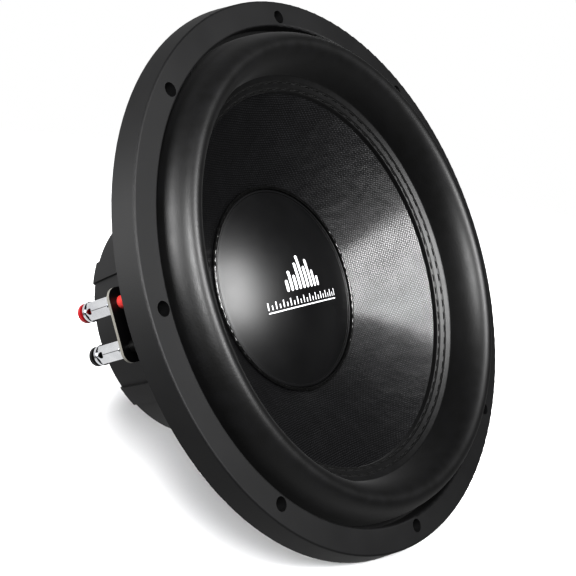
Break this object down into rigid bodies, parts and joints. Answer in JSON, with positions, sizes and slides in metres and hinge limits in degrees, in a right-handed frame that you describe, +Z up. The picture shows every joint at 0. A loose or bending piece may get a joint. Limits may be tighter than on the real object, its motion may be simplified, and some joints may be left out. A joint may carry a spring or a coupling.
{
  "type": "car subwoofer speaker",
  "caption": "Round car subwoofer driver with a high-roll surround, stitched woven cone, domed dust cap, ribbed magnet boot and sprung push terminals.",
  "frame": {"origin": "centre of the bolt circle on the rear face of the flange, which seats on the baffle", "axes": "-Y along the speaker's axis towards the listener, +Z up, terminals at -X and +X"},
  "size_m": [0.322, 0.1462, 0.322],
  "materials": {
    "trim_rubber": "satin moulded rubber",
    "basket_coat": "satin black powder coat",
    "zinc_steel": "blackened steel",
    "ferrite": "ground ceramic",
    "yoke_steel": "black plated steel",
    "bare_aluminium": "machined",
    "screen_mesh": "black perforated steel",
    "black_screw": "black oxide",
    "boot_rubber": "matte moulded rubber",
    "woven_cone": "coated black weave",
    "foam": "fine matte foam",
    "thread": "bonded thread",
    "cap_polymer": "satin black",
    "glue": "glossy black adhesive",
    "white_ink": "screen-printed ink",
    "former_film": "amber polyimide",
    "copper": "enamelled copper",
    "spider_cloth": "resin-dipped cloth",
    "clamp_plastic": "moulded",
    "board_laminate": "black laminate",
    "tinsel": "tinned braid",
    "chrome_brass": "bright chrome",
    "nickel": "bright nickel",
    "tin": "tinned",
    "spring_steel": "drawn wire",
    "red_plastic": "moulded red",
    "black_plastic": "moulded black"
  },
  "bodies": {
    "frame": {"trim_ring": "trim_rubber", "basket": "basket_coat", "top_plate": "zinc_steel", "magnet_front": "ferrite", "magnet_rear": "ferrite", "yoke": "yoke_steel", "shorting_ring": "bare_aluminium", "vent_screen": "screen_mesh", "motor_screws": "black_screw", "magnet_boot": "boot_rubber", "spider_clamp_ring": "clamp_plastic", "terminal_washers": "nickel", "solder_lugs": "tin", "terminal_nuts": "nickel", "board_rivets": "nickel", "terminal_board_right": "board_laminate", "terminal_board_left": "board_laminate", "terminal_barrel_right_positive": "chrome_brass", "terminal_insulator_right_positive": "red_plastic", "terminal_spring_right_positive": "spring_steel", "terminal_barrel_right_negative": "chrome_brass", "terminal_insulator_right_negative": "black_plastic", "terminal_spring_right_negative": "spring_steel", "terminal_barrel_left_positive": "chrome_brass", "terminal_insulator_left_positive": "red_plastic", "terminal_spring_left_positive": "spring_steel", "terminal_barrel_left_negative": "chrome_brass", "terminal_insulator_left_negative": "black_plastic", "terminal_spring_left_negative": "spring_steel"},
    "cone_assembly": {"cone": "woven_cone", "surround": "foam", "surround_stitching": "thread", "dust_cap": "cap_polymer", "cap_glue_bead": "glue", "cap_emblem": "white_ink", "coil_former": "former_film", "coil_winding_inner": "copper", "coil_winding_outer": "copper", "spider": "spider_cloth", "tinsel_leads_right": "tinsel", "tinsel_leads_left": "tinsel"},
    "push_button_right_positive": {"push_cap_right_positive": "red_plastic"},
    "push_button_right_negative": {"push_cap_right_negative": "black_plastic"},
    "push_button_left_positive": {"push_cap_left_positive": "red_plastic"},
    "push_button_left_negative": {"push_cap_left_negative": "black_plastic"}
  },
  "joints": [
    {"name": "cone_travel", "type": "slide", "parent": "frame", "child": "cone_assembly", "axis": [0, -1, 0], "range_m": [-0.012, 0.012], "stiffness_N_per_m": 5800, "deforming": ["surround", "spider", "tinsel_leads_right", "tinsel_leads_left"]},
    {"name": "push_right_positive", "type": "slide", "parent": "frame", "child": "push_button_right_positive", "axis": [0, -1, 0], "range_m": [0, 0.0018], "stiffness_N_per_m": 1500, "springref_m": -0.002, "deforming": ["terminal_spring_right_positive"]},
    {"name": "push_right_negative", "type": "slide", "parent": "frame", "child": "push_button_right_negative", "axis": [0, -1, 0], "range_m": [0, 0.0018], "stiffness_N_per_m": 1500, "springref_m": -0.002, "deforming": ["terminal_spring_right_negative"]},
    {"name": "push_left_positive", "type": "slide", "parent": "frame", "child": "push_button_left_positive", "axis": [0, -1, 0], "range_m": [0, 0.0018], "stiffness_N_per_m": 1500, "springref_m": -0.002, "deforming": ["terminal_spring_left_positive"]},
    {"name": "push_left_negative", "type": "slide", "parent": "frame", "child": "push_button_left_negative", "axis": [0, -1, 0], "range_m": [0, 0.0018], "stiffness_N_per_m": 1500, "springref_m": -0.002, "deforming": ["terminal_spring_left_negative"]}
  ]
}
